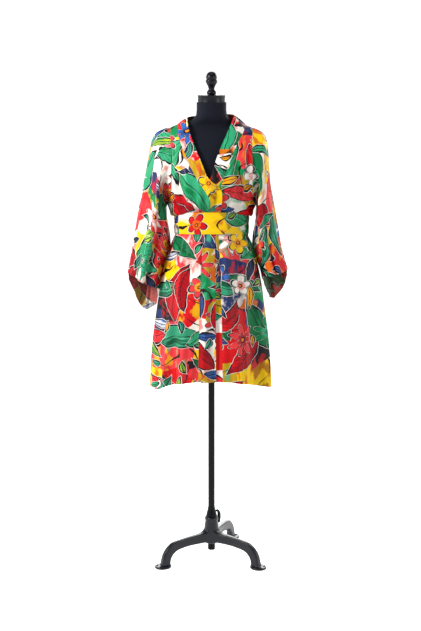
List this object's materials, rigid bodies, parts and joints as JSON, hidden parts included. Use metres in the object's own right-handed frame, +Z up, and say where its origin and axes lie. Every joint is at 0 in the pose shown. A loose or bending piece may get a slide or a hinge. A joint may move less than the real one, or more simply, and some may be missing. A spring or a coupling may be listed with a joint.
{
  "type": "kimono robe on a dress form stand",
  "caption": "Short belted kimono robe of printed satin with wide sleeves, worn by a limbless dress form on a height-adjustable pole with a cast three-legged base.",
  "frame": {"origin": "on the floor, below the middle of the object's box", "axes": "+Z up, the front of the robe faces -Y, the wearer's right side is -X"},
  "size_m": [0.529, 0.351, 1.65],
  "materials": {
    "printed_satin": "satin with a large multicolour flower and leaf print",
    "form_jersey": "matte stretched jersey",
    "black_gloss": "gloss",
    "pole_enamel": "satin black enamel",
    "cast_iron": "semi-gloss dark paint over a cast surface",
    "lever_steel": "gloss black"
  },
  "bodies": {
    "base": {"collar": "cast_iron", "hub": "cast_iron", "right_leg": "cast_iron", "right_pad": "cast_iron", "left_leg": "cast_iron", "left_pad": "cast_iron", "rear_leg": "cast_iron", "rear_pad": "cast_iron"},
    "mast": {"pole": "pole_enamel"},
    "form": {"back_panel": "printed_satin", "right_front": "printed_satin", "left_front": "printed_satin", "right_band": "printed_satin", "left_band": "printed_satin", "neck_band": "printed_satin", "right_sleeve": "printed_satin", "left_sleeve": "printed_satin", "sash": "printed_satin", "sash_knot": "printed_satin", "sash_end_right": "printed_satin", "sash_end_left": "printed_satin", "dress_form": "form_jersey", "neck_cap": "black_gloss", "finial": "black_gloss"},
    "lever": {"lock_lever": "lever_steel"}
  },
  "joints": [
    {"name": "height_slide", "type": "slide", "parent": "base", "child": "mast", "axis": [0, 0, 1], "range_m": [-0.02, 0.075]},
    {"name": "form_swivel", "type": "hinge", "parent": "mast", "child": "form", "pos_m": [0.0125, -0.03378, 0.85], "axis": [0, 0, 1], "continuous": true},
    {"name": "lock_lever_turn", "type": "hinge", "parent": "base", "child": "lever", "pos_m": [0.02653, -0.02282, 0.16], "axis": [0.788, 0.6157, 0], "range_deg": [0, 90]}
  ]
}
